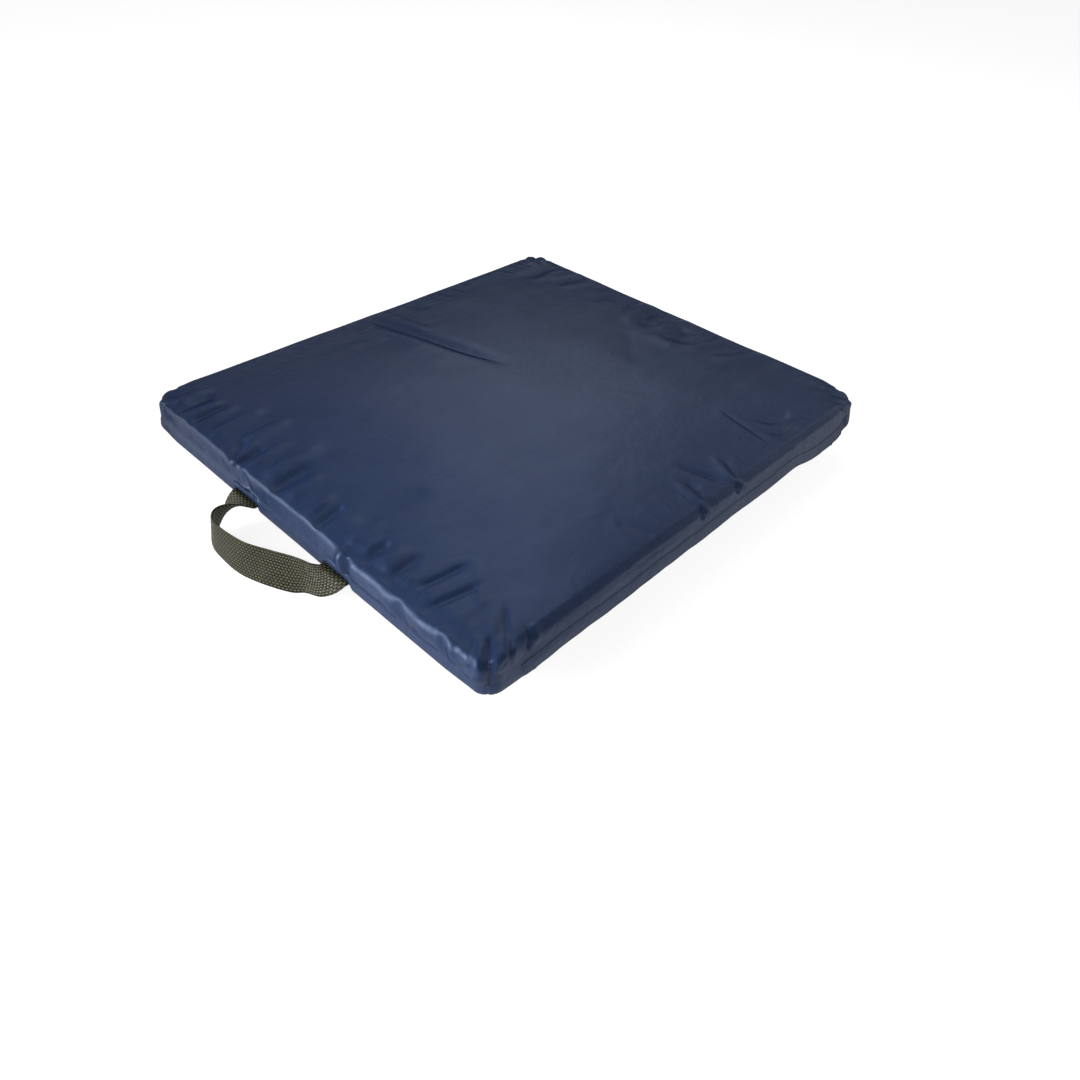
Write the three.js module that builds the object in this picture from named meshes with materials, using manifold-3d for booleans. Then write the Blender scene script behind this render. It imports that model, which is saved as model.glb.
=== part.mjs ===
// Kneeling pad: a zipped cushion cover in two nylon halves around a foam core, with a webbing
// carrying handle on one short side and a concealed zip on the side next to it.
// Millimetres, +Z up. The origin is the middle of the flat patch that the pad rests on.
// The handle is on the -Y side and the zip on the +X side.
import * as THREE from "three";
import Module from "manifold-3d";
import { mergeVertices } from "three/addons/utils/BufferGeometryUtils.js";

const wasm = await Module();
wasm.setup();

// ---- Driving dimensions ----
const PAD_WIDTH = 406; // along X, 16 in
const PAD_DEPTH = 457; // along Y, 18 in
const CORNER_RADIUS = 13;
const CORNER_SPREAD = 0.3; // growth of a contour's corner radius per mm that it lies inside the seam line
const CORNER_STEPS = 4;
const SIDE_STEPS = 5;

const CREASE_INSET = 5.5; // the top's edge, where the side walls turn into the domed top
const CREASE_Z = 58.4;
const CROWN = 20.6; // height of the dome's middle above its edge
const CROWN_POWER = 2.3; // how quickly the dome flattens towards its middle
const COVER_THICK = 1.4;
const SEAM_Z = 32.6; // height at which the two covers meet
const GAP = 0.3; // clearance kept between parts that touch

const WEB_WIDTH = 30;
const WEB_THICK = 1.6;
const HANDLE_LEFT_X = -61; // centre of each sewn end of the handle
const HANDLE_RIGHT_X = 53;
const ROOT_OUT = 4.9; // how far outside the pad's side the free strap starts, on its turning axis
const TAIL_OUT = 3.7; // how far outside the side a tail reaches, short of the turning strap
const TAIL_INSET = 5.7; // how far inside the seam line a tail reaches
const TAIL_TOP = 46;

const ZIP_HALF = 187; // half the length of the coil chain
const CHAIN_Z = 29.6; // height of the line where the coils meet
const COIL_HEIGHT = 2.85;
const COIL_X = [202.05, 204.0];
const TAPE_X = [201.15, 201.75];
const TAPE_END = 13; // tape past the chain at each end
const TAPE_TOP = 43; // the upper tape runs up behind the navy wall
const SLIDER_LENGTH = 11;
const SLIDER_Y = 180;
const FLAP_HALF = 206;

const THREAD = 0.7;
const PULL_X = 207.1; // the pull tab's pivot
const PULL_LENGTH = 22; // from the pivot to the tip

// ---- Materials ----
function material(color, roughness, metalness = 0) {
  return () => new THREE.MeshStandardMaterial({ color, roughness, metalness });
}
const navyNylon = material(0x35415f, 0.5);
const greyNylon = material(0x85807b, 0.65);
const blackWebbing = material(0x2f2f27, 0.85);
const zipTape = material(0x17171b, 0.8);
const zipCoil = material(0x101014, 0.45);
const darkMetal = material(0x3c3d40, 0.35, 0.9);
const foam = material(0xe6d9a8, 0.95);
const wadding = material(0xf1f0ec, 1.0);
const navyThread = material(0x1d2438, 0.7);
const greyThread = material(0x4a4643, 0.7);

const pad = new THREE.Group();

function add(name, geometry, makeMaterial) {
  const mesh = new THREE.Mesh(geometry, makeMaterial());
  mesh.name = name;
  pad.add(mesh);
}

// ---- Shape helpers ----

// A closed surface from points and triangles, turned so that its faces point out.
function closedSurface(points, triangles) {
  let volume = 0;
  for (const [a, b, c] of triangles) {
    volume += points[a].dot(new THREE.Vector3().crossVectors(points[b], points[c]));
  }
  const geometry = new THREE.BufferGeometry().setFromPoints(points);
  geometry.setIndex(triangles.flatMap(([a, b, c]) => (volume > 0 ? [a, b, c] : [a, c, b])));
  geometry.computeVertexNormals();
  return geometry;
}

// Height of the top's dome above its edge.
function dome(x, y) {
  const across = Math.abs(x) / (PAD_WIDTH / 2 - CREASE_INSET);
  const along = Math.abs(y) / (PAD_DEPTH / 2 - CREASE_INSET);
  return CROWN * Math.max(0, 1 - across ** CROWN_POWER) * Math.max(0, 1 - along ** CROWN_POWER);
}

// A contour of the pad, lying inset mm inside the seam line (outside it when negative). On a domed
// contour z is the height that the dome stands on.
function contour(inset, z, domed = false) {
  const radius = CORNER_RADIUS + CORNER_SPREAD * Math.max(inset, 0);
  const coreX = PAD_WIDTH / 2 - inset - radius;
  const coreY = PAD_DEPTH / 2 - inset - radius;
  const points = [];
  const corners = [[1, 1], [-1, 1], [-1, -1], [1, -1]];
  corners.forEach(([sideX, sideY], turn) => {
    const arc = [];
    for (let i = 0; i <= CORNER_STEPS; i++) {
      const angle = (turn + i / CORNER_STEPS) * Math.PI / 2;
      arc.push(new THREE.Vector3(
        sideX * coreX + radius * Math.cos(angle),
        sideY * coreY + radius * Math.sin(angle), z));
    }
    points.push(...arc);
    const [nextX, nextY] = corners[(turn + 1) % 4];
    const nextAngle = (turn + 1) * Math.PI / 2;
    const end = new THREE.Vector3(
      nextX * coreX + radius * Math.cos(nextAngle),
      nextY * coreY + radius * Math.sin(nextAngle), z);
    for (let i = 1; i < SIDE_STEPS; i++) {
      points.push(arc.at(-1).clone().lerp(end, i / SIDE_STEPS));
    }
  });
  if (domed) points.forEach((point) => { point.z += dome(point.x, point.y); });
  return points;
}

// A solid with the pad's outline. Its profile is a list of contours [inset, z, domed], like that of
// a lathe: it closes on itself, or it starts and ends with [z] alone, a point on the middle axis.
function padSolid(profile) {
  const points = [];
  const rings = profile.map((entry) => {
    const added = entry.length === 1 ? [new THREE.Vector3(0, 0, entry[0])] : contour(...entry);
    points.push(...added);
    return added.map((_, i) => points.length - added.length + i);
  });
  if (rings[0].length > 1) rings.push(rings[0]);
  const triangles = [];
  for (let r = 1; r < rings.length; r++) {
    const [a, b] = [rings[r - 1], rings[r]];
    const count = Math.max(a.length, b.length);
    for (let i = 0; i < count; i++) {
      const j = (i + 1) % count;
      if (a.length > 1) triangles.push([a[i], a[j], b[i % b.length]]);
      if (b.length > 1) triangles.push([a[j % a.length], b[j], b[i]]);
    }
  }
  return closedSurface(points, triangles);
}

// A solid through a row of convex cross-sections with the same number of corners.
function loft(sections) {
  const count = sections[0].length;
  const triangles = [];
  for (let s = 1; s < sections.length; s++) {
    for (let i = 0; i < count; i++) {
      const j = (i + 1) % count;
      const a = (s - 1) * count;
      const b = s * count;
      triangles.push([a + i, a + j, b + i], [a + j, b + j, b + i]);
    }
  }
  const last = (sections.length - 1) * count;
  for (let i = 1; i < count - 1; i++) {
    triangles.push([0, i + 1, i], [last, last + i, last + i + 1]);
  }
  return closedSurface(sections.flat(), triangles);
}

// A solid with the same outline in XZ all the way from one Y to another.
function alongY(outline, yStart, yEnd) {
  return loft([yStart, yEnd].map((y) => outline.map(([x, z]) => new THREE.Vector3(x, y, z))));
}

function box([x0, x1], [y0, y1], [z0, z1]) {
  const geometry = new THREE.BoxGeometry(x1 - x0, y1 - y0, z1 - z0);
  return geometry.translate((x0 + x1) / 2, (y0 + y1) / 2, (z0 + z1) / 2);
}

function uprightRod(radius, length, sides, [x, y, z]) {
  return new THREE.CylinderGeometry(radius, radius, length, sides).rotateX(Math.PI / 2).translate(x, y, z);
}

function toManifold(geometry) {
  const bare = geometry.clone();
  bare.deleteAttribute("normal");
  bare.deleteAttribute("uv");
  const merged = mergeVertices(bare);
  return new wasm.Manifold(new wasm.Mesh({
    numProp: 3,
    vertProperties: new Float32Array(merged.attributes.position.array),
    triVerts: new Uint32Array(merged.index.array),
  }));
}

function fromManifold(solid) {
  const mesh = solid.getMesh();
  const geometry = new THREE.BufferGeometry();
  geometry.setAttribute("position", new THREE.BufferAttribute(mesh.vertProperties, 3));
  geometry.setIndex(new THREE.BufferAttribute(mesh.triVerts, 1));
  geometry.computeVertexNormals();
  return geometry;
}

function cut(geometry, tools) {
  return fromManifold(tools.reduce((solid, tool) => solid.subtract(toManifold(tool)), toManifold(geometry)));
}

function join(geometries) {
  return fromManifold(geometries.map(toManifold).reduce((solid, other) => solid.add(other)));
}

// ---- Covers ----
// Each profile runs from the seam to the middle; the shell's inner face follows COVER_THICK inside it.
const DOME_INSETS = [14, 28, 45, 65, 90, 120, 155];
function domeRings(below) {
  return [CREASE_INSET + below / 2, ...DOME_INSETS].map((inset) => [inset, CREASE_Z - below, true]);
}
const topOuter = [
  [0.9, 29.4], [-0.8, 28.1], [-2.6, 28.8], [-3.2, 31.4], [-2.8, 35], [-1.4, 42], [0, 49], [1.8, 54.6],
  ...domeRings(0),
];
const topInner = [
  [0.6, 30.7], [-0.6, 29.7], [-1.4, 30.1], [-1.8, 31.8], [-1.4, 35.2], [0, 42.3], [1.4, 49.2], [3.1, 54.0],
  ...domeRings(COVER_THICK),
];
const bottomOuter = [
  [2.2, 34], [2.4, 30], [3.5, 25], [6.5, 19.5], [12, 14], [22, 8.8], [36, 4.5], [55, 1.5], [75, 0],
];
const bottomInner = [
  [3.6, 34], [3.8, 30.2], [4.9, 25.5], [7.8, 20.2], [13, 15], [22.6, 10.1], [36.4, 5.9], [55.2, 2.9], [75, 1.4],
];

function shell(outer, inner, middleOuter, middleInner) {
  return padSolid([[middleInner], ...inner.toReversed(), ...outer, [middleOuter]]);
}

const side = -PAD_DEPTH / 2;
const slots = [HANDLE_LEFT_X, HANDLE_RIGHT_X].map((x) => [x - WEB_WIDTH / 2 - GAP, x + WEB_WIDTH / 2 + GAP]);
const slotLow = SEAM_Z - WEB_THICK / 2 - GAP;
const slotHigh = SEAM_Z + WEB_THICK / 2 + GAP;

const crownTop = CREASE_Z + CROWN;
const topShell = shell(topOuter, topInner, crownTop, crownTop - COVER_THICK);
const HEM_BAND = [side - 6, side + 2]; // along Y, right through the hem on the handle's side
const webSlots = slots.map((x) => box(x, HEM_BAND, [slotLow, slotHigh]));
// The hem stops just past the zip's ends, and leaves the zip clear.
const HEM_END = ZIP_HALF + 5;
const HEM_CUT_X = [199, 210];
const HEM_CUT_Z = [20, CHAIN_Z + 7.9];
const hemGap = box(HEM_CUT_X, [-HEM_END, HEM_END], HEM_CUT_Z);
add("top_cover", cut(topShell, [...webSlots, hemGap]), navyNylon);

const bottomShell = shell(bottomOuter, bottomInner, 0, COVER_THICK);
const RIM_BAND = [side + 1, side + 6]; // along Y, right through the lower cover's upper edge
const tailNotches = slots.map((x) => box(x, RIM_BAND, [slotLow, slotHigh + 2]));
const WINDOW_X = [190, 210];
const WINDOW_HALF = 4.6; // half the height of the opening that the zip lies in
const zipWindow = box(WINDOW_X, [-ZIP_HALF, ZIP_HALF], [CHAIN_Z - WINDOW_HALF, CHAIN_Z + WINDOW_HALF]);
add("bottom_cover", cut(bottomShell, [...tailNotches, zipWindow]), greyNylon);

// ---- Filling ----
const FOAM_TOP = 56;
const FOAM_LOW = 12.5;
add("foam_core", padSolid([
  [FOAM_LOW], [24, FOAM_LOW], [17, 14.6], [9.2, 21], [6.2, 28], [6.2, 50], [10, FOAM_TOP], [FOAM_TOP],
]), foam);
const WADDING_CLEAR = 0.5; // between the wadding and the cover over it
const WADDING_EDGE = 20;
const waddingZ = CREASE_Z - COVER_THICK - WADDING_CLEAR;
const waddingInsets = DOME_INSETS.filter((inset) => inset > WADDING_EDGE);
const waddingRings = waddingInsets.map((inset) => [inset, waddingZ, true]);
add("top_wadding", padSolid([
  [FOAM_TOP + GAP], [WADDING_EDGE, FOAM_TOP + GAP], ...waddingRings, [waddingZ + CROWN],
]), wadding);
add("bottom_wadding", padSolid([
  [12.1], [26, 12.1], [24, 10.6], [37, 6.5], [56, 3.5], [76, 1.9], [1.9],
]), wadding);

// ---- Seams ----
// A thread of square section along a path, its second direction given at each point.
function thread(path, upward) {
  const half = THREAD / 2;
  return loft(path.map((point, i) => {
    const along = path[Math.min(i + 1, path.length - 1)].clone().sub(path[Math.max(i - 1, 0)]).normalize();
    const across = new THREE.Vector3().crossVectors(along, upward).normalize();
    const rise = new THREE.Vector3().crossVectors(across, along);
    return [[1, 1], [-1, 1], [-1, -1], [1, -1]].map(([a, b]) =>
      point.clone().addScaledVector(across, a * half).addScaledVector(rise, b * half));
  }));
}

const SEAM_THREAD_INSET = 1.55;
const SEAM_THREAD_Z = 30.2;
const seamLoop = contour(SEAM_THREAD_INSET, SEAM_THREAD_Z);
const perSide = CORNER_STEPS + SIDE_STEPS;
const seamStart = CORNER_STEPS / 2; // the middle of the corner at +X +Y
const seamEnd = 3 * perSide + CORNER_STEPS / 2; // the middle of the corner at +X -Y
add("seam_thread", thread(seamLoop.slice(seamStart, seamEnd + 1), new THREE.Vector3(0, 0, 1)), navyThread);

// The stitched darts that box the corners, one above and one below the seam at each corner.
const CORNERS = [["front_left", 2], ["front_right", 3], ["back_right", 0], ["back_left", 1]];
const THREAD_OUT = THREAD / 2 + GAP + 0.1; // the middle of a dart's thread, outside the cover
function dart(profile, turn) {
  const path = profile.map(([inset, z]) => contour(inset - THREAD_OUT, z)[turn * perSide + CORNER_STEPS / 2]);
  const tangent = new THREE.Vector3(-1, 1, 0);
  if (turn % 2 === 1) tangent.set(1, 1, 0);
  return thread(path, tangent.normalize());
}
const topDart = topOuter.slice(3, 9); // from the hem roll to just under the crease
const bottomDart = [[2.4, 27.5], [3.5, 25], [6.5, 19.5], [11, 15]];
for (const [corner, turn] of CORNERS) {
  add(`top_dart_thread_${corner}`, dart(topDart, turn), navyThread);
  add(`bottom_dart_thread_${corner}`, dart(bottomDart, turn), greyThread);
}

// ---- Handle ----
// Each end of the webbing goes in through the seam and turns up behind the top cover.
function tail(centreX) {
  const low = SEAM_Z - WEB_THICK / 2;
  const span = [centreX - WEB_WIDTH / 2, centreX + WEB_WIDTH / 2];
  return join([
    box(span, [side - TAIL_OUT, side + TAIL_INSET], [low, low + WEB_THICK]),
    box(span, [side + TAIL_INSET - WEB_THICK, side + TAIL_INSET], [low, TAIL_TOP]),
  ]);
}
add("handle_tail_left", tail(HANDLE_LEFT_X), blackWebbing);
add("handle_tail_right", tail(HANDLE_RIGHT_X), blackWebbing);

// The free strap lies out from the side and stands on its outer edge. Each row gives a point of
// its inner edge, then of its outer edge, as [x, distance out from the side, z].
const STRAP_EDGES = [
  [[-46, ROOT_OUT, SEAM_Z], [-76, ROOT_OUT, SEAM_Z]],
  [[-51, 8.5, 33], [-79, 9.5, 24]],
  [[-59, 12.5, 33], [-80, 14.5, 12]],
  [[-65, 18.5, 32.4], [-77.5, 20.5, 5.2]],
  [[-66, 26, 31.6], [-73, 28.5, 2.6]],
  [[-59, 32, 31.2], [-63, 33.8, 2]],
  [[-45, 33.5, 31.2], [-49.5, 36, 2]],
  [[-20.7, 30, 31.3], [-25, 35.8, 2]],
  [[-1, 21.7, 31.5], [-4, 31, 2.8]],
  [[15, 14.5, 32], [19, 21, 3]],
  [[24, 12, 33], [31.5, 15, 7]],
  [[32, 9.5, 33], [50, 14.5, 16]],
  [[36.5, 6.8, 33], [63, 11, 26]],
  [[38, ROOT_OUT, SEAM_Z], [68, ROOT_OUT, SEAM_Z]],
];
const STRAP_STEPS = 4 * (STRAP_EDGES.length - 1);

function strap() {
  const [inner, outer] = [0, 1].map((edge) => new THREE.CatmullRomCurve3(
    STRAP_EDGES.map((row) => new THREE.Vector3(row[edge][0], side - row[edge][1], row[edge][2]))));
  const sections = [];
  for (let i = 0; i <= STRAP_STEPS; i++) {
    const t = i / STRAP_STEPS;
    const across = inner.getPoint(t).sub(outer.getPoint(t)).normalize();
    const middle = inner.getPoint(t).add(outer.getPoint(t)).multiplyScalar(0.5);
    const along = inner.getTangent(t).add(outer.getTangent(t)).normalize();
    if (i === 0) along.set(0, -1, 0);
    if (i === STRAP_STEPS) along.set(0, 1, 0);
    const normal = new THREE.Vector3().crossVectors(along, across).normalize();
    sections.push([[1, 1], [-1, 1], [-1, -1], [1, -1]].map(([a, b]) => middle.clone()
      .addScaledVector(across, a * WEB_WIDTH / 2).addScaledVector(normal, b * WEB_THICK / 2)));
  }
  return loft(sections);
}
add("handle_strap", strap(), blackWebbing);

// ---- Zip ----
const tapeSpan = [-ZIP_HALF - TAPE_END, ZIP_HALF + TAPE_END];
add("zip_tape_upper", box(TAPE_X, tapeSpan, [CHAIN_Z + GAP / 2, TAPE_TOP]), zipTape);
const TAPE_FOOT = [199, 21.6]; // the lower tape leans in to the bottom cover
const tapeThick = TAPE_X[1] - TAPE_X[0];
add("zip_tape_lower", alongY([
  [TAPE_X[0], CHAIN_Z - GAP / 2], [TAPE_X[1], CHAIN_Z - GAP / 2],
  [TAPE_FOOT[0] + tapeThick, TAPE_FOOT[1]], TAPE_FOOT,
], ...tapeSpan), zipTape);

const upperCoil = [CHAIN_Z + GAP / 2, CHAIN_Z + GAP / 2 + COIL_HEIGHT];
const lowerCoil = [CHAIN_Z - GAP / 2 - COIL_HEIGHT, CHAIN_Z - GAP / 2];
add("zip_coil_upper", box(COIL_X, [-ZIP_HALF, ZIP_HALF], upperCoil), zipCoil);
add("zip_coil_lower", box(COIL_X, [-ZIP_HALF, ZIP_HALF], lowerCoil), zipCoil);

const STOP_LENGTH = 3;
const STOP_PROUD = 0.4; // how far a stop stands out past the coils
const stopX = [COIL_X[0], COIL_X[1] + STOP_PROUD];
const stopY = [ZIP_HALF + GAP, ZIP_HALF + GAP + STOP_LENGTH];
add("zip_stop_front", box(stopX, [-stopY[1], -stopY[0]], [lowerCoil[0], upperCoil[1]]), darkMetal);
add("zip_stop_back_upper", box(stopX, stopY, upperCoil), darkMetal);
add("zip_stop_back_lower", box(stopX, stopY, lowerCoil), darkMetal);

// The slider is a channel that hugs the coils, with an ear that carries the pull tab's pin.
const PLATE_X = [204.4, 205.6];
const FLANGE = 1;
const PLATE_OVERLAP = 0.5; // how far the ear runs into the plate
const sliderHigh = upperCoil[1] + GAP + FLANGE;
const sliderLow = lowerCoil[0] - GAP - FLANGE;
const sliderY = [SLIDER_Y - SLIDER_LENGTH / 2, SLIDER_Y + SLIDER_LENGTH / 2];
const EAR_THICK = 1.6;
const EAR_RADIUS = 1.9;
const PIN_RADIUS = 0.8;
const EYE_RADIUS = 1.1;
const channelX = [COIL_X[0] + 0.05, PLATE_X[1]];
const slider = join([
  box(PLATE_X, sliderY, [sliderLow, sliderHigh]),
  box(channelX, sliderY, [sliderHigh - FLANGE, sliderHigh]),
  box(channelX, sliderY, [sliderLow, sliderLow + FLANGE]),
  box([PLATE_X[1] - PLATE_OVERLAP, PULL_X], [SLIDER_Y - EAR_RADIUS, SLIDER_Y + EAR_RADIUS],
    [CHAIN_Z - EAR_THICK / 2, CHAIN_Z + EAR_THICK / 2]),
  uprightRod(EAR_RADIUS, EAR_THICK, 20, [PULL_X, SLIDER_Y, CHAIN_Z]),
]);
const eye = uprightRod(EYE_RADIUS, 2 * EAR_THICK, 20, [PULL_X, SLIDER_Y, CHAIN_Z]);
add("zip_slider", cut(slider, [eye]), darkMetal);

// The pull tab lies along the zip, under the flap: two cheeks above and below the ear with a pin
// between them, and a tongue that points to the middle of the pad.
const CHEEK = 0.9;
const TAB_HALF = EAR_THICK / 2 + GAP + CHEEK; // half the tab's height
const TAB_THICK = 1.3;
const TAB_X = [PULL_X - TAB_THICK / 2, PULL_X + TAB_THICK / 2];
const TONGUE_START = EAR_RADIUS + GAP; // from the pivot
const tongue = new THREE.Shape();
tongue.moveTo(-TONGUE_START, TAB_HALF);
tongue.lineTo(-TONGUE_START, -TAB_HALF);
tongue.absarc(-PULL_LENGTH + TAB_HALF, 0, TAB_HALF, -Math.PI / 2, Math.PI / 2, true);
const tongueSolid = new THREE.ExtrudeGeometry(tongue, {
  depth: TAB_THICK, bevelEnabled: false, curveSegments: 12,
});
tongueSolid.rotateX(Math.PI / 2).rotateZ(Math.PI / 2).translate(TAB_X[0], SLIDER_Y, CHAIN_Z);
const CHEEK_END = 1.2; // past the pivot
const OVERLAP = 0.2; // how far the tab's pieces run into each other
const cheekY = [SLIDER_Y - TONGUE_START - OVERLAP, SLIDER_Y + CHEEK_END];
const cheeks = [
  box(TAB_X, cheekY, [CHAIN_Z + TAB_HALF - CHEEK, CHAIN_Z + TAB_HALF]),
  box(TAB_X, cheekY, [CHAIN_Z - TAB_HALF, CHAIN_Z - TAB_HALF + CHEEK]),
];
const pin = uprightRod(PIN_RADIUS, 2 * TAB_HALF - OVERLAP, 16, [PULL_X, SLIDER_Y, CHAIN_Z]);
add("zip_pull_tab", join([tongueSolid, ...cheeks, pin]), darkMetal);

// A flap of the navy fabric hides the zip. It is topstitched to the wall along its upper edge.
const FLAP_FACE = [[205, 46], [206.9, 32.4]]; // inner face, top to bottom
const FLAP_THICK = 0.9;
const flapOutline = [...FLAP_FACE, ...FLAP_FACE.toReversed().map(([x, z]) => [x + FLAP_THICK, z])];
add("zip_flap", alongY(flapOutline, -FLAP_HALF, FLAP_HALF), navyNylon);

const ROW_SHORT = 3; // how far a row of stitches ends before its cloth does
function stitchRow([x, z], clothHalf) {
  const half = THREAD / 2;
  const reach = clothHalf - ROW_SHORT;
  return box([x - half, x + half], [-reach, reach], [z - half, z + half]);
}
const FLAP_ROW = [207.15, 42.3];
const TAPE_ROW = [201, 23.8];
add("zip_flap_topstitch", stitchRow(FLAP_ROW, FLAP_HALF), navyThread);
add("zip_tape_stitch", stitchRow(TAPE_ROW, ZIP_HALF + TAPE_END), greyThread);

export default pad;
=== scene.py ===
# The looks of a kneeling pad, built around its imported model: the cloth covers with their folds, the
# woven handle, the zip, its flap and stitches, and the materials, light and camera.
import math

import bpy
import numpy as np
from mathutils import Matrix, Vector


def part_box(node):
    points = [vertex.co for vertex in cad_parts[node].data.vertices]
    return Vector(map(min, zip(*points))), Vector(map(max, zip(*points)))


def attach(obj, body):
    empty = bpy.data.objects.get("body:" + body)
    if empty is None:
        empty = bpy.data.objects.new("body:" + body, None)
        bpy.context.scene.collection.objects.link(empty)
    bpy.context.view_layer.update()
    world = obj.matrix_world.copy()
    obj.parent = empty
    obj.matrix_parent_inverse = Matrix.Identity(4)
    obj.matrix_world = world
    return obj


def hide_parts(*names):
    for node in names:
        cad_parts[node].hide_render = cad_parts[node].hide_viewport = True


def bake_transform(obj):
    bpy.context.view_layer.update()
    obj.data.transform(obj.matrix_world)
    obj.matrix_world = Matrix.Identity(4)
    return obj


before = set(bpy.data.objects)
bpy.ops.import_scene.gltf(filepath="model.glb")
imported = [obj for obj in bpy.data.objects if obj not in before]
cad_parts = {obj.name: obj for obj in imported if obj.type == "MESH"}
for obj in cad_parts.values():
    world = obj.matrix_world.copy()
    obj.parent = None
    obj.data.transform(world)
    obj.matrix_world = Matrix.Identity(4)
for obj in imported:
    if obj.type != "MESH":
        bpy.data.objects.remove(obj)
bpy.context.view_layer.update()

MM = 0.001
rng = np.random.default_rng(16)

# ---- Sizes in millimetres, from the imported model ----
top_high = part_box("top_cover")[1]
ROLL_OUT = 3.2  # how far the rolled hem stands outside the seam line
HALF_X = top_high.x / MM - ROLL_OUT
HALF_Y = top_high.y / MM - ROLL_OUT
CREASE_INSET = 5.5  # the crease between the top and the walls, in from the seam line
CREASE_Z = 58.4
CROWN = top_high.z / MM - CREASE_Z
CROWN_POWER = 2.3  # higher keeps the crown flat for longer before it falls to the edges
CORNER_RADIUS = 13
CORNER_SPREAD = 0.3  # how much the corner's radius grows for each millimetre inwards
WEB_WIDTH = 30
WEB_THICK = 1.6
HANDLE_ENDS = (-61, 53)  # x of the middle of each sewn end


# ---- Curves ----

def unit(vectors):
    return vectors / np.maximum(np.linalg.norm(vectors, axis=1, keepdims=True), 1e-9)


def distances(line):
    """How far along the line each of its points is."""
    return np.concatenate([[0], np.cumsum(np.linalg.norm(np.diff(line, axis=0), axis=1))])


def looked_up(places, reach, values):
    """The rows of values, given at each reach, at the places between them."""
    return np.stack([np.interp(places, reach, column) for column in values.T], 1)


def smooth_curve(points, count):
    """Catmull-Rom curve through the points, resampled to count evenly spaced places."""
    p = np.asarray(points, float)
    p = np.vstack([2 * p[0] - p[1], p, 2 * p[-1] - p[-2]])
    fine = []
    for a, b, c, d in zip(p[:-3], p[1:-2], p[2:-1], p[3:]):
        t = np.linspace(0, 1, 24, endpoint=False)[:, None]
        fine.append(0.5 * (2 * b + (c - a) * t + (2 * a - 5 * b + 4 * c - d) * t**2
                           + (3 * b - a - 3 * c + d) * t**3))
    fine = np.vstack(fine + [p[-2:-1]])
    reach = distances(fine)
    return looked_up(np.linspace(0, reach[-1], count), reach, fine), reach[-1]


def smoothstep(t):
    t = np.clip(t, 0, 1)
    return t * t * (3 - 2 * t)


def dome(x, y):
    """How high the filling stands above the crease."""
    across = np.abs(x) / (HALF_X - CREASE_INSET)
    along = np.abs(y) / (HALF_Y - CREASE_INSET)
    return CROWN * np.clip(1 - across**CROWN_POWER, 0, 1) * np.clip(1 - along**CROWN_POWER, 0, 1)


# ---- The pad's surface: nested rounded rectangles, then rows down the side walls ----
# The sides are numbered 0 front (-Y), 1 right (+X), 2 back (+Y) and 3 left (-X).
CROWDING = 1.15  # above 1, the face's vertices lie closer together near its edges


def cells(ids, flipped=False):
    """The quads between neighbouring rows and columns of a table of vertex numbers."""
    corners = [ids[:-1, :-1], ids[1:, :-1], ids[1:, 1:], ids[:-1, 1:]]
    if flipped:
        corners[1], corners[3] = corners[3], corners[1]
    return np.stack(corners, -1).reshape(-1, 4)


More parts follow.
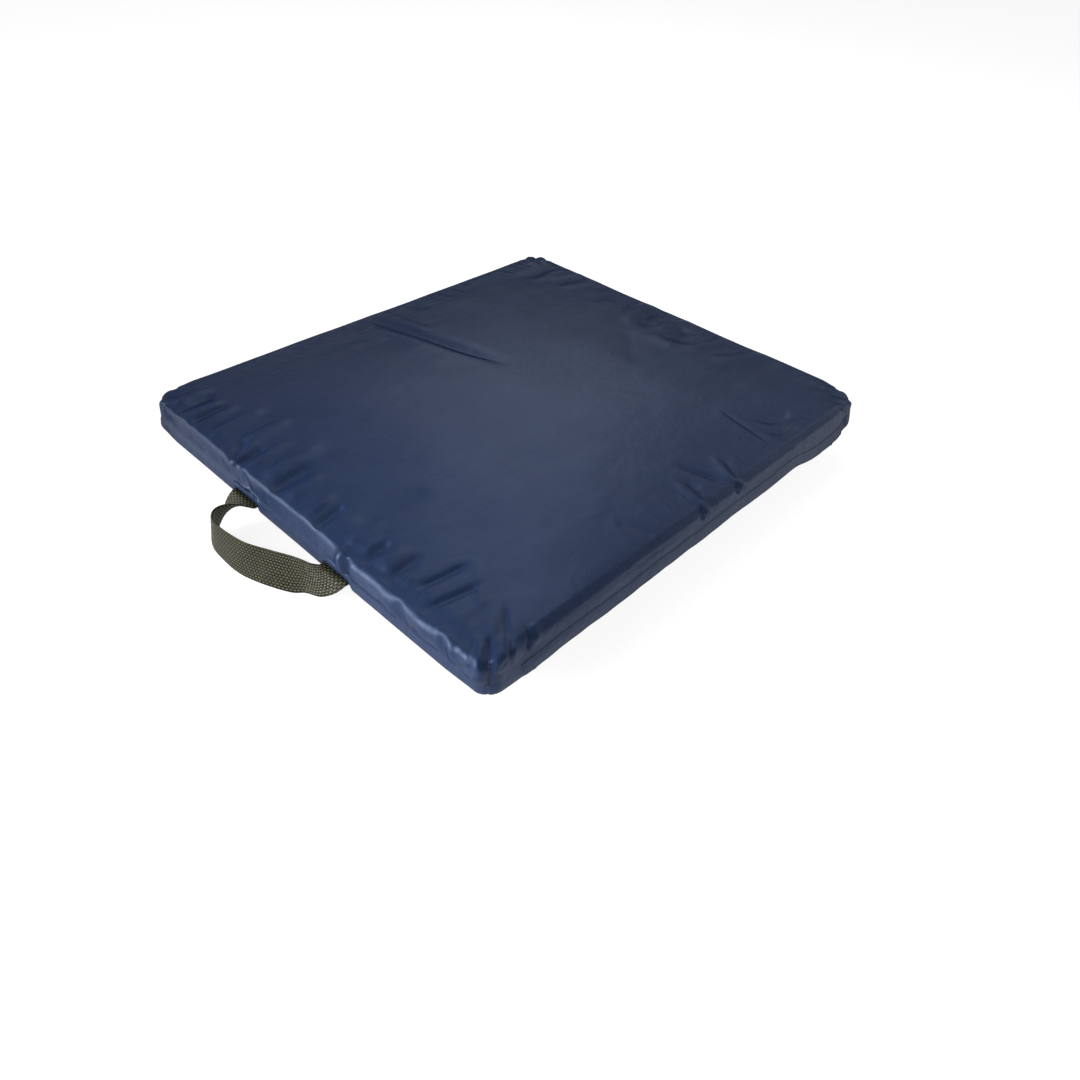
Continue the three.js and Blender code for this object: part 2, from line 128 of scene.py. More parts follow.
class PadGrid:
    """Where each vertex of a half of the pad lies. face(x, y, depth) is the height of the lying part,
    and profile the rows from its edge to the hem as (inset, z). outward is -1 for the lower half,
    whose faces look down. For each vertex, points is where it lies, flat its place on the cloth, drop
    how far down the wall it is (below 0 on the face), side and place its wall and the place along it,
    and corner how far it is from the nearest corner's dart."""

    def __init__(self, cells_x, cells_y, rows, face, profile, outward=1):
        self.outward = outward
        edge_inset = profile[0][0]
        i, j = np.meshgrid(np.arange(cells_x + 1), np.arange(cells_y + 1), indexing="ij")
        ring = np.minimum(np.minimum(i, cells_x - i), np.minimum(j, cells_y - j))
        side = np.where(j == ring, 0, np.where(i == cells_x - ring, 1, np.where(j == cells_y - ring, 2, 3)))
        span_x, span_y = np.maximum(cells_x - 2 * ring, 1), np.maximum(cells_y - 2 * ring, 1)
        share = np.where(side % 2 == 0, (i - ring) / span_x, (j - ring) / span_y)
        share = np.where((cells_x - 2 * ring == 0) & (side % 2 == 0), 0.5, share)
        depth = edge_inset + (HALF_X - edge_inset) * (2 * ring / cells_x) ** CROWDING
        x, y, place, reach = self.locate(side, share, depth)
        self.face_ids = np.arange(i.size).reshape(i.shape)
        face_points = np.stack([x, y, face(x, y, depth)], -1).reshape(-1, 3)

        around = [*((a, 0) for a in range(cells_x)), *((cells_x, b) for b in range(cells_y)),
                  *((a, cells_y) for a in range(cells_x, 0, -1)), *((0, b) for b in range(cells_y, 0, -1))]
        at = tuple(np.array(around).T)
        rim_side, rim_share = side[at], share[at]
        curve, length = smooth_curve(profile, rows + 1)
        self.curve, self.length = curve, length
        parts = [(face_points, np.stack([x, y], -1).reshape(-1, 2), edge_inset - depth.ravel(),
                  side.ravel(), place.ravel(), (reach - np.abs(place)).ravel())]
        wall_ids = [self.face_ids[at]]
        edge_x, edge_y = HALF_X - edge_inset, HALF_Y - edge_inset
        for row in range(1, rows + 1):
            inset, z = curve[row]
            x, y, place, reach = self.locate(rim_side, rim_share, np.full(len(around), inset))
            drop = length * row / rows
            flat = np.stack([np.choose(rim_side, [place, edge_x + drop, place, -edge_x - drop]),
                             np.choose(rim_side, [-edge_y - drop, place, edge_y + drop, place])], 1)
            parts.append((np.stack([x, y, np.full(len(around), z)], 1), flat,
                          np.full(len(around), drop), rim_side, place, reach - np.abs(place)))
            wall_ids.append(i.size + (row - 1) * len(around) + np.arange(len(around)))
        self.wall_ids = np.array(wall_ids)
        self.points, self.flat, self.drop, self.side, self.place, self.corner = (
            np.concatenate(values) for values in zip(*parts))
        wall = self.wall_ids
        after = np.roll(wall, -1, axis=1)
        wall_quads = np.stack([wall[1:], after[1:], after[:-1], wall[:-1]], -1).reshape(-1, 4)
        self.quads = np.vstack([cells(self.face_ids), wall_quads])

    @staticmethod
    def locate(side, share, inset):
        """x, y, the place along the side and the side's half length, for points on contours."""
        half = np.where(side % 2 == 0, HALF_X, HALF_Y) - inset
        out = np.where(side % 2 == 0, HALF_Y, HALF_X) - inset
        radius = np.minimum(CORNER_RADIUS + CORNER_SPREAD * np.maximum(inset, 0), np.minimum(half, out))
        straight = half - radius
        reach = straight + radius * math.pi / 4
        place = (2 * share - 1) * reach
        turn = np.clip((np.abs(place) - straight) / np.maximum(radius, 1e-6), 0, math.pi / 4)
        rounded = np.sign(place) * (straight + radius * np.sin(turn))
        along = np.where(np.abs(place) <= straight, place, rounded)
        away = out - radius * (1 - np.cos(turn))
        x = np.choose(side, [along, away, along, -away])
        y = np.choose(side, [-away, along, away, along])
        return x, y, place, reach

    def normals(self, points):
        a, b, c, d = (points[self.quads[:, k]] for k in range(4))
        face = np.cross(c - a, d - b)
        total = np.zeros_like(points)
        for k in range(4):
            np.add.at(total, self.quads[:, k], face)
        return self.outward * unit(total)

    def smoothed(self, values, rounds):
        """values averaged with their neighbours on the mesh, so many times over."""
        a, b = np.vstack([self.quads[:, [k, (k + 1) % 4]] for k in range(4)]).T
        count = np.bincount(a, minlength=len(values)) + np.bincount(b, minlength=len(values))
        for _ in range(rounds):
            total = np.bincount(a, values[b], len(values)) + np.bincount(b, values[a], len(values))
            values = 0.5 * values + 0.5 * total / count
        return values

    def from_coarse(self, coarse, values):
        """values at the vertices of a grid half as fine, brought to this one."""
        def doubled(v):
            v = np.repeat(v, 2, axis=0)[:-1]
            v[1::2] = 0.5 * (v[:-1:2] + v[2::2])
            return v
        result = np.zeros(len(self.points))
        rows = values[coarse.wall_ids]
        result[self.wall_ids] = doubled(doubled(np.hstack([rows, rows[:, :1]]).T)[:-1].T)
        result[self.face_ids] = doubled(doubled(values[coarse.face_ids]).T).T
        return result


def fine_and_coarse(cells_x, cells_y, rows, *shape):
    """A half of the pad, and the same with half as many cells for the simulation."""
    return PadGrid(cells_x, cells_y, rows, *shape), PadGrid(cells_x // 2, cells_y // 2, rows // 2, *shape)


# ---- Folds, as heights along the cloth's own flat coordinates ----
# The flat coordinates are x and y on the face. On a wall they go on outwards, past the crease, by the
# distance down it. Each fold is a height, a width, and x and y in turn for each place on the line that
# it follows, in millimetres.
EDGE_X = HALF_X - CREASE_INSET
EDGE_Y = HALF_Y - CREASE_INSET

BACK_FOLDS = [
    (1.7, 6, -35, 236, -25, 180, -5, 150), (-1.2, 6, -22, 232, -12, 190, 8, 158),
    (1.4, 5, 15, 234, 15, 195, 18, 165), (-1.5, 9, 24, 208, 38, 180, 50, 165),
    (1.0, 7, 18, 157, 35, 153, 52, 157), (1.1, 6, 64, 232, 62, 190, 55, 150),
    (1.3, 6, 108, 232, 95, 190, 78, 160), (1.3, 5, -146, 234, -150, 200, -142, 163),
    (1.1, 5, -130, 234, -138, 200, -134, 178), (0.9, 5, -110, 230, -112, 168), (0.6, 6, -60, 195, -57, 163),
    (1.0, 6, -190, 220, -176, 185, -171, 158), (-0.8, 10, 0, 150, 50, 88),
]
LEFT_FOLDS = [
    (1.3, 5, -204, -1, -150, -3, -108, -2), (-2.1, 6, -208, -15, -150, -14, -80, -10, -10, 5),
    (1.3, 6, -203, -28, -140, -27, -80, -20, -20, -2), (1.1, 6, -172, -42, -128, -41),
    (0.9, 7, -115, -38, -48, -32), (0.7, 4, -155, -60, -132, -71), (0.7, 8, -192, 22, -168, 20),
    (-0.6, 7, -196, 36, -165, 34), (0.7, 8, -192, 52, -170, 48),
]
FRONT_FOLDS = [
    (1.1, 4, -176, -230, -175, -182), (-1.0, 4, -165, -232, -165, -188), (1.0, 4, -152, -231, -150, -188),
    (-1.0, 2.5, -143, -231, -143, -188), (1.0, 4, -135, -231, -134, -186), (1.4, 5, -117, -231, -115, -170),
    (-1.3, 4, -93, -206, -86, -219, -76, -233), (1.5, 5, -88, -218, -85, -168),
    (-2.0, 4, -70, -233, -70, -203), (1.2, 4, -62, -233, -61, -186), (1.4, 6, -41, -229, -39, -168),
    (-2.0, 5, -26, -231, -24, -188), (0.9, 4, -10, -229, -10, -193), (0.9, 4, 14, -231, 15, -198),
    (-1.6, 4, 28, -232, 28, -201), (-0.9, 8, 47, -210, 61, -150), (1.0, 4, 60, -229, 61, -193),
    (-1.5, 4, 80, -233, 80, -201), (0.9, 4, 92, -231, 92, -198), (-1.0, 3.5, 105, -231, 104, -194),
    (-1.2, 2.6, 133, -177, 129, -198, 123, -220), (-1.2, 2.6, 152, -182, 147, -204, 139, -230),
    (0.5, 2.2, 130, -172, 152, -188, 171, -203), (1.5, 4, -75, -221, -80, -230, -87, -240),
    (-1.7, 3.2, -64, -230, -60, -238, -55, -246), (1.6, 4, 59, -222, 61, -238, 63, -254),
    (-1.7, 2.4, 67, -230, 68, -254), (0.8, 5, 104, -232, 112, -241, 116, -250),
    (-0.8, 3.5, 118, -230, 126, -240, 128, -250), (0.9, 5, 138, -228, 146, -238, 148, -249),
    (-0.8, 3, 160, -230, 166, -240, 167, -250),
]
RIGHT_FOLDS = [
    (-0.8, 2.5, 138, 97, 190, 97), (-1.0, 2.4, 176, 48, 203, 38), (0.9, 3, 168, 42, 204, 33),
    (-1.0, 2.4, 156, 7, 200, 28), (-1.0, 2.6, 172, 2, 206, -2), (0.9, 3, 166, -7, 208, -7),
    (-0.8, 3, 164, 110, 175, 122, 178, 138, 171, 152), (0.8, 4, 171, 104, 183, 121, 184, 145),
    (-0.8, 3, 178, 103, 190, 121, 190, 143), (-0.6, 4, 170, -77, 199, -60), (1.5, 3, 197, -7, 220, -6),
    (-1.1, 2, 198, -11, 218, -12), (1.5, 3, 197, 39, 224, 40), (-1.2, 2, 198, 34, 222, 35),
    (0.6, 4, 205, 118, 216, 118), (-1.1, 3, 200, -195, 224, -195),
]

# Pinches that run over the crease, and the crushed near corner.
CREASE_PINCHES = [
    (-1.6, 3, -71, -214, -69, -224, -72, -234), (1.4, 3.4, -77, -214, -76, -224, -80, -236),
    (1.3, 3.4, 61, -212, 61, -224, 62, -240), (-1.2, 2.6, 80, -214, 80, -226, 78, -234),
    (-1.0, 2.6, 28, -214, 28, -228), (-1.0, 2.6, -25, -212, -26, -230),
    (-2.4, 1.3, 171, -184, 184, -195, 203, -214), (0.7, 4.0, 170, -194, 182, -205, 192, -216),
    (-2.0, 1.3, 193, -189, 203, -192, 215, -196), (0.9, 3.0, 194, -184, 206, -186, 214, -188),
    (-2.4, 1.3, 179, -216, 186, -228, 194, -242), (2.0, 2.4, 186, -214, 192, -226, 199, -238),
    (-2.4, 1.1, 190, -212, 197, -224, 200, -238), (-1.8, 1.4, 174, -247, 184, -241, 195, -236),
    (1.6, 2.2, 180, -250, 190, -246, 200, -243), (1.2, 3.0, 164, -224, 172, -234, 180, -246),
    (-1.6, 1.3, 200, -206, 206, -212, 211, -222), (-1.1, 1.3, 150, -216, 153, -226, 160, -240),
]


def fold_height(flat, height, width, line):
    """How far one fold lifts each place on the cloth: a round crest, or a sharper valley, with a
    shallow swell of the opposite sign on both sides."""
    line = np.reshape(line, (-1, 2))
    curve, _ = smooth_curve(line, 4 * len(line) + 4)
    reach = 3.2 * width
    near = np.all((flat > curve.min(0) - reach) & (flat < curve.max(0) + reach), axis=1)
    p = flat[near]
    best = np.full(len(p), 1e9)
    share = np.zeros(len(p))
    count = len(curve) - 1
    for k in range(count):
        a, edge = curve[k], curve[k + 1] - curve[k]
        t = np.clip((p - a) @ edge / (edge @ edge), 0, 1)
        away = np.sum((p - a - t[:, None] * edge) ** 2, axis=1)
        closer = away < best
        best[closer] = away[closer]
        share[closer] = (k + t[closer]) / count
    taper = smoothstep(share / 0.28) * smoothstep((1 - share) / 0.28)
    lift = np.zeros(len(flat))
    middle = np.exp(-(best / width**2) ** (0.62 if height < 0 else 1))
    lift[near] = height * taper * (middle - 0.34 * np.exp(-best / (2.3 * width) ** 2))
    return lift


def random_puckers(flat, half_x, half_y, strengths, deepest, wall):
    """Small gathers that run in from each edge of the cloth, where the sewing draws it together."""
    total = np.zeros(len(flat))
    for side, strength in enumerate(strengths):
        half, out = (half_x, half_y) if side % 2 == 0 else (half_y, half_x)
        place = -half + 6
        while place < half - 6:
            place += rng.uniform(5, 13)
            length, lean = rng.uniform(8, deepest) * rng.uniform(0.5, 1), rng.uniform(-0.25, 0.25)
            down = rng.uniform(0, wall)
            start, stop = out + down, out - length
            height = strength * rng.uniform(0.25, 0.9) * rng.choice([-1, 1, 1])
            along = [place, place + lean * (start - stop) / 2, place + lean * (start - stop)]
            outward = [start, (start + stop) / 2, stop]
            sign = -1 if side in (0, 3) else 1
            line = [(a, sign * o) if side % 2 == 0 else (sign * o, a) for a, o in zip(along, outward)]
            total += fold_height(flat, height, rng.uniform(2.2, 4.5), line)
    return total


# The two walls that meet at each corner, and which end of each it is at. The corners come in the order
# front left, front right, back right, back left.
CORNER_ENDS = (((0, -1), (3, -1)), ((1, -1), (0, 1)), ((2, 1), (1, 1)), ((3, 1), (2, -1)))


def corner_gathers(grid, strengths):
    """Crushed folds down each corner's wall, deepest at the dart, with their own places on each side."""
    total = np.zeros(len(grid.points))
    for strength, ends in zip(strengths, CORNER_ENDS):
        for side, end in ends:
            mask = (grid.side == side) & (np.sign(grid.place) == end)
            for fold in range(4):
                at, lean = 4 + 6 * fold + rng.uniform(-1.5, 1.5), rng.uniform(-0.2, 0.2)
                height = strength * rng.uniform(0.7, 1.5) * (1 if fold % 2 else -1) * 0.82**fold
                width = rng.uniform(1.6, 2.8)
                top, low = rng.uniform(-15, -6), rng.uniform(12, 24)
                window = smoothstep((grid.drop - top) / 8) * smoothstep((low - grid.drop) / 8)
                away = grid.corner - at - lean * grid.drop
                total += mask * height * window * np.exp(-(away / width) ** 2)
    return total


def soft_corners(points, amounts):
    """The filling doesn't reach right into the corners, so the cloth there is lower and pulled in."""
    reach, fade, pulled_in, lowered = 40, 36, 3.6, 4.5
    low, wall_height = 36, 22
    x, y, z = points.T
    for amount, (sign_x, sign_y) in zip(amounts, ((-1, -1), (1, -1), (1, 1), (-1, 1))):
        away = np.hypot(HALF_X - sign_x * x, HALF_Y - sign_y * y)
        near = amount * smoothstep((reach - away) / fade)
        points[:, 0] -= sign_x * pulled_in * near
        points[:, 1] -= sign_y * pulled_in * near
        points[:, 2] -= lowered * near * np.clip((z - low) / wall_height, 0, 1) ** 1.2


def dart(grid, depth, start):
    """The seam that takes in the cloth at each corner, with a slight swell beside it."""
    drawn_in = np.exp(-(grid.corner / 1.7)) - 0.35 * np.exp(-((grid.corner - 6) / 4) ** 2)
    return -depth * drawn_in * smoothstep((grid.drop - start) / 5)


def slow_noise(flat, size, height):
    """Gentle unevenness of the filling, as a sum of seeded waves."""
    total = np.zeros(len(flat))
    for _ in range(9):
        angle, phase = rng.uniform(0, 2 * math.pi, 2)
        wave = 2 * math.pi / (size * rng.uniform(0.7, 1.6))
        total += np.sin(wave * (flat @ np.array([math.cos(angle), math.sin(angle)])) + phase)
    return height * total / 3


def linked(name, data):
    obj = bpy.data.objects.new(name, data)
    bpy.context.scene.collection.objects.link(obj)
    return obj


# ---- Cloth simulation: the covers' fine wrinkles ----
SETTLING_FRAMES = 22


def simulated_wrinkles(grid, name, pinned, spare):
    """Lets the cover's cloth settle with spare cloth near its edges and a little air under it, and
    returns how far each vertex came out of the smoothed surface. pinned and spare are weights."""
    mesh = bpy.data.meshes.new(name)
    mesh.from_pydata((grid.points * MM).tolist(), [], grid.quads.tolist())
    obj = linked(name, mesh)
    for group, weights in (("pinned", pinned), ("spare", spare)):
        held = obj.vertex_groups.new(name=group)
        for weight in np.unique(np.round(weights, 1)):
            if weight > 0:
                held.add(np.flatnonzero(np.round(weights, 1) == weight).tolist(), float(weight), "REPLACE")
    cloth = obj.modifiers.new("Cloth", "CLOTH")
    settings = cloth.settings
    settings.quality = 6
    settings.mass = 0.15
    settings.tension_stiffness = settings.compression_stiffness = 40
    settings.shear_stiffness = 12
    settings.bending_stiffness = 0.12
    settings.tension_damping = settings.compression_damping = settings.shear_damping = 10
    settings.vertex_group_mass = "pinned"
    settings.vertex_group_shrink = "spare"
    settings.shrink_min = 0.0
    settings.shrink_max = -0.05
    settings.use_pressure = True
    settings.uniform_pressure_force = 0.6
    settings.effector_weights.gravity = 0
    cloth.collision_settings.use_collision = False
    scene = bpy.context.scene
    cloth.point_cache.frame_start, cloth.point_cache.frame_end = 1, SETTLING_FRAMES
    for frame_number in range(1, SETTLING_FRAMES + 1):
        scene.frame_set(frame_number)
    settled = obj.evaluated_get(bpy.context.evaluated_depsgraph_get()).to_mesh()
    places = np.empty(len(grid.points) * 3)
    settled.vertices.foreach_get("co", places)
    moved = places.reshape(-1, 3) / MM - grid.points
    scene.frame_set(1)
    bpy.data.objects.remove(obj)
    bpy.data.meshes.remove(mesh)
    lift = np.sum(moved * grid.normals(grid.points), axis=1)
    return lift - grid.smoothed(lift, 40)


# ---- Meshes ----

def new_piece(name, points, faces, material, replaces, flat=None, painted_gap_shades=None, body="pad"):
    """A mesh piece from points in millimetres. flat gives its cloth coordinates, and painted_gap_shades
    a grey for each vertex, painted shade for a material to read. A piece without a body is blended
    between two bodies later."""
    mesh = bpy.data.meshes.new(name)
    mesh.from_pydata((np.asarray(points) * MM).tolist(), [], [list(map(int, f)) for f in faces])
    mesh.polygons.foreach_set("use_smooth", [True] * len(mesh.polygons))
    mesh.materials.append(material)
    if flat is not None:
        loops = np.empty(len(mesh.loops), dtype=np.int64)
        mesh.loops.foreach_get("vertex_index", loops)
        layer = mesh.uv_layers.new(name="fabric")
        layer.data.foreach_set("uv", (np.asarray(flat)[loops] * MM).astype(np.float32).ravel())
    if painted_gap_shades is not None:
        attribute = mesh.attributes.new("painted_gap_shade", "FLOAT", "POINT")
        attribute.data.foreach_set("value", np.asarray(painted_gap_shades, dtype=np.float32))
    mesh.update()
    obj = linked(name, mesh)
    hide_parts(*replaces)
    if body:
        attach(obj, body)
    return obj


def closed_cover(name, grid, points, thickness, material, replaces):
    """The cover as a closed shell: the fine outer cloth, and a coarser face inside it."""
    step = 4  # of the outer cloth's cells to one of the inner face's
    normals = grid.normals(points)
    inner = points - thickness * unit(np.stack([grid.smoothed(normals[:, k], 6) for k in range(3)], 1))
    face, wall = grid.face_ids[::step, ::step], grid.wall_ids[::step, ::step]
    kept = np.unique(np.concatenate([face.ravel(), wall.ravel()]))
    number = np.full(len(points), -1)
    number[kept] = len(points) + np.arange(len(kept))
    after = np.roll(wall, -1, axis=1)
    walls = np.stack([wall[1:], wall[:-1], after[:-1], after[1:]], -1).reshape(-1, 4)
    rim, rim_inner = grid.wall_ids[-1], number[wall[-1]]
    count = len(rim_inner)
    edge = [[*(int(rim[(step * k + m) % len(rim)]) for m in range(step, -1, -1)),
             int(rim_inner[k]), int(rim_inner[(k + 1) % count])] for k in range(count)]
    faces = [*grid.quads.tolist(), *number[np.vstack([cells(face, True), walls])].tolist(), *edge]
    if grid.outward < 0:
        faces = [f[::-1] for f in faces]
    return new_piece(name, np.vstack([points, inner[kept]]), faces, material, replaces,
                     flat=np.vstack([grid.flat, grid.flat[kept]]))


def closed_filling(name, rows, upper, profile, lower, material, replaces):
    """A filling as one closed form: its upper face, its sides and its lower face."""
    cells_x, cells_y = 56, 64
    grid = PadGrid(cells_x, cells_y, rows, upper, profile)
    count = grid.face_ids.size
    number = np.full(count, -1)
    middle = grid.face_ids[1:-1, 1:-1].ravel()
    number[middle] = len(grid.points) + np.arange(len(middle))
    number[grid.wall_ids[0]] = grid.wall_ids[-1]
    under = grid.points[middle].copy()
    under[:, 2] = lower(under[:, 0], under[:, 1])
    points = np.vstack([grid.points, under])
    points[:, 2] += slow_noise(points[:, :2], 60, 0.3) * (np.arange(len(points)) < count)
    faces = np.vstack([grid.quads, cells(number[grid.face_ids], True)])
    return new_piece(name, points, faces, material, replaces, flat=points[:, :2])


def tube(path, radius, sides=6):
    """Points and faces of a round thread along a path in millimetres."""
    path = np.asarray(path, float)
    ahead = unit(np.gradient(path, axis=0))
    one = unit(np.cross(ahead, np.where(np.abs(ahead[:, 2:3]) < 0.9, [[0.0, 0.0, 1.0]], [[1.0, 0.0, 0.0]])))
    two = np.cross(ahead, one)
    angle = np.linspace(0, 2 * math.pi, sides, endpoint=False)
    r = np.broadcast_to(np.asarray(radius, float), (len(path),))[:, None, None]
    cos, sin = (wave(angle)[None, :, None] for wave in (np.cos, np.sin))
    rings = path[:, None] + r * (cos * one[:, None] + sin * two[:, None])
    ids = np.arange(len(path) * sides).reshape(len(path), sides)
    around = cells(np.hstack([ids, ids[:, :1]])).tolist()
    return rings.reshape(-1, 3), [*around, ids[0].tolist(), ids[-1][::-1].tolist()]


def gathered(parts):
    """Several sets of points and faces as one."""
    points, faces, start = [], [], 0
    for part_points, part_faces in parts:
        points.append(part_points)
        faces += [[start + v for v in f] for f in part_faces]
        start += len(part_points)
    return np.vstack(points), faces


STITCH_PLACES = np.array([0, 0.06, 0.18, 0.5, 0.82, 0.94, 1])  # along one stitch
STITCH_THICKNESS = np.array([0.6, 0.9, 1, 1.05, 1, 0.9, 0.6])


def stitches(line, outwards, pitch=3.0, thread=0.32, sink=0.5):
    """Points and faces of separate stitches along a line: each thread rises from its hole, lies flat
    and dives again."""
    reach = distances(line)
    height = np.array([-sink, 0, thread * 0.7, thread * 0.8, thread * 0.7, 0, -sink])
    parts = []
    for start in np.arange(0.4, reach[-1] - pitch, pitch):
        s = start + STITCH_PLACES * pitch * rng.uniform(0.76, 0.84)
        path = looked_up(s, reach, line) + looked_up(s, reach, outwards) * height[:, None]
        parts.append(tube(path, thread * STITCH_THICKNESS))
    return gathered(parts)


def sewn(name, points, normals, line, material, replaced, **sizes):
    """A row of stitches along these vertices of a cover."""
    new_piece(name, *stitches(points[line], normals[line], **sizes), material, [replaced])


def slab_faces(n, m, flipped=False):
    """Faces of a closed slab between two sheets of n by m points, one sheet numbered after the other."""
    one = np.arange(n * m).reshape(n, m)
    two = one + n * m
    edges = [np.stack([one[edge], two[edge]], 1) for edge in (np.s_[:, 0], np.s_[:, -1], 0, -1)]
    turned = (False, True, True, False, False, True)
    return np.vstack([cells(ids, turn != flipped) for ids, turn in zip([one, two, *edges], turned)])


# ---- Materials ----

class Shader:
    """A new material, and short ways to add nodes to it. Sizes are in metres."""

    def __init__(self, name):
        self.material = bpy.data.materials.new(name)
        self.material.use_nodes = True
        self.tree = self.material.node_tree

    def feed(self, target, inputs):
        for key, value in inputs.items():
            if isinstance(value, bpy.types.NodeSocket):
                self.tree.links.new(value, target.inputs[key])
            else:
                target.inputs[key].default_value = value

    def surface(self, inputs):
        self.feed(self.tree.nodes["Principled BSDF"], inputs)
        return self.material

    def node(self, kind, inputs, **settings):
        made = self.tree.nodes.new(kind)
        for key, value in settings.items():
            setattr(made, key, value)
        self.feed(made, inputs)
        return made

    def cloth_places(self):
        return self.node("ShaderNodeUVMap", {}, uv_map="fabric").outputs[0]

    def math(self, operation, *values):
        return self.node("ShaderNodeMath", dict(enumerate(values)), operation=operation).outputs[0]

    def mixed(self, share, one, two):
        return self.node("ShaderNodeMix", {0: share, 6: one, 7: two}, data_type="RGBA").outputs[2]

    def ranged(self, value, low, high, to_low=0.0, to_high=1.0):
        inputs = {0: value, 1: low, 2: high, 3: to_low, 4: to_high}
        return self.node("ShaderNodeMapRange", inputs).outputs[0]

    def ridges(self, coords, direction, pitch):
        """A wave from 0 to 1 with the given pitch."""
        period = 2 * math.pi / 20
        return self.node("ShaderNodeTexWave", {"Vector": coords, "Scale": period / pitch},
                         wave_type="BANDS", bands_direction=direction).outputs["Fac"]

    def noise(self, coords, size, detail=3.0, rough=0.55):
        inputs = {"Vector": coords, "Scale": 1 / size, "Detail": detail, "Roughness": rough}
        return self.node("ShaderNodeTexNoise", inputs).outputs["Fac"]

    def stretched(self, coords, scale):
        return self.node("ShaderNodeMapping", {0: coords, 3: scale}).outputs[0]

    def bumped(self, strength, distance, height, **under):
        inputs = {"Strength": strength, "Distance": distance, "Height": height, **under}
        return self.node("ShaderNodeBump", inputs).outputs[0]


def woven(name, dark, light, pitch, relief, rough, sheen, sheen_tint, specular, ripstop=0.0):
    """Plain-woven cloth: fine crossing yarns, uneven dye and gloss, and a stronger grid if ripstop.
    The gloss falls off where the cloth is seen at a low angle, between the rows of yarns."""
    made = Shader(name)
    coords = made.cloth_places()
    warp, weft = made.ridges(coords, "X", pitch), made.ridges(coords, "Y", pitch)
    slub = made.noise(made.stretched(coords, (1, 0.06, 1)), 0.0022)
    slub_across = made.noise(made.stretched(coords, (0.06, 1, 1)), 0.0022)
    weave = made.math("MAXIMUM", made.math("MULTIPLY", warp, slub), made.math("MULTIPLY", weft, slub_across))
    mottle, grain = made.noise(coords, 0.045, 4), made.noise(coords, 0.0016, 2)
    tone = made.math("ADD", made.math("MULTIPLY", mottle, 0.45),
                     made.math("ADD", made.math("MULTIPLY", grain, 0.5), made.math("MULTIPLY", weave, 0.25)))
    colour = made.mixed(made.ranged(tone, 0.3, 0.8), (*dark, 1), (*light, 1))
    height = made.math("ADD", weave, made.math("MULTIPLY", grain, 3.0))
    if ripstop:
        cross = made.math("MAXIMUM", made.ridges(coords, "X", ripstop), made.ridges(coords, "Y", ripstop))
        grid = made.ranged(cross, 0.93, 0.995)
        height = made.math("ADD", height, made.math("MULTIPLY", grid, 1.4))
        colour = made.mixed(made.math("MULTIPLY", grid, 0.5), colour, (*[c * 0.72 for c in dark], 1))
    roughness = made.ranged(tone, 0.3, 0.8, rough + 0.05, rough - 0.05)
    facing = made.node("ShaderNodeLayerWeight", {"Blend": 0.5}).outputs["Facing"]
    gloss = made.ranged(facing, 0.48, 0.74, specular, 0.04 * specular)
    crumple = made.noise(coords, 0.007, 3, 0.6)
    creased = made.noise(made.stretched(coords, (1, 0.45, 1)), 0.028, 4, 0.5)
    low = made.bumped(0.5, 0.0007, crumple, Normal=made.bumped(0.5, 0.0028, creased))
    tint = (*sheen_tint, 1)
    return made.surface({
        "Base Color": colour, "Roughness": roughness, "Specular IOR Level": gloss, "Specular Tint": tint,
        "Sheen Weight": sheen, "Sheen Roughness": 0.38, "Sheen Tint": tint,
        "Normal": made.bumped(0.6, relief, height, Normal=low)})


def webbing_material(name, dark, light):
    """Coarse webbing: the mesh carries the yarns, and painted shade darkens their gaps' colour and gloss."""
    made = Shader(name)
    coords = made.cloth_places()
    painted_gap_shade = made.node("ShaderNodeAttribute", {}, attribute_name="painted_gap_shade").outputs["Fac"]
    fibre = made.noise(made.stretched(coords, (1, 0.2, 1)), 0.0007, 3)
    # Painted shade: the colour, and below it the gloss, go dark in the gaps between the yarns; the fibre
    # noise is the yarns' own tone.
    tone = made.math("MULTIPLY", made.math("POWER", painted_gap_shade, 2.2), made.ranged(fibre, 0.3, 0.7, 0.72, 1.1))
    return made.surface({
        "Base Color": made.mixed(tone, (*dark, 1), (*light, 1)),
        "Roughness": made.ranged(fibre, 0.3, 0.7, 0.48, 0.68),
        "Specular IOR Level": made.ranged(painted_gap_shade, 0.1, 0.6, 0.02, 0.3),
        "Normal": made.bumped(0.5, 0.00012, fibre)})


def solid_material(name, dark, light, size, rough, metallic=0.0, relief=0.00005, porous=False):
    """Moulded, cast or spun material, from noise in the object's own coordinates."""
    made = Shader(name)
    coords = made.node("ShaderNodeTexCoord", {}).outputs["Object"]
    height = spots = made.noise(coords, size, 5, 0.62)
    if porous:
        pores = made.node("ShaderNodeTexVoronoi", {"Vector": coords, "Scale": 1 / size})
        height = pores.outputs["Distance"]
    return made.surface({
        "Base Color": made.mixed(made.ranged(spots, 0.3, 0.7), (*dark, 1), (*light, 1)),
        "Roughness": made.ranged(spots, 0.3, 0.7, rough - 0.08, rough + 0.08), "Metallic": metallic,
        "Normal": made.bumped(0.6, relief, height)})


navy = woven("navy_nylon", (0.006, 0.0135, 0.046), (0.011, 0.0245, 0.069), 0.00042, 0.00004, 0.45,
             0.012, (0.52, 0.68, 1.0), 0.38)
grey = woven("grey_nylon", (0.15, 0.13, 0.125), (0.23, 0.205, 0.19), 0.0005, 0.00005, 0.5,
             0.15, (1.0, 0.96, 0.92), 0.45, ripstop=0.0052)
tape = woven("zip_tape", (0.006, 0.007, 0.009), (0.014, 0.015, 0.019), 0.0007, 0.00008, 0.62,
             0.2, (0.7, 0.75, 0.9), 0.35)
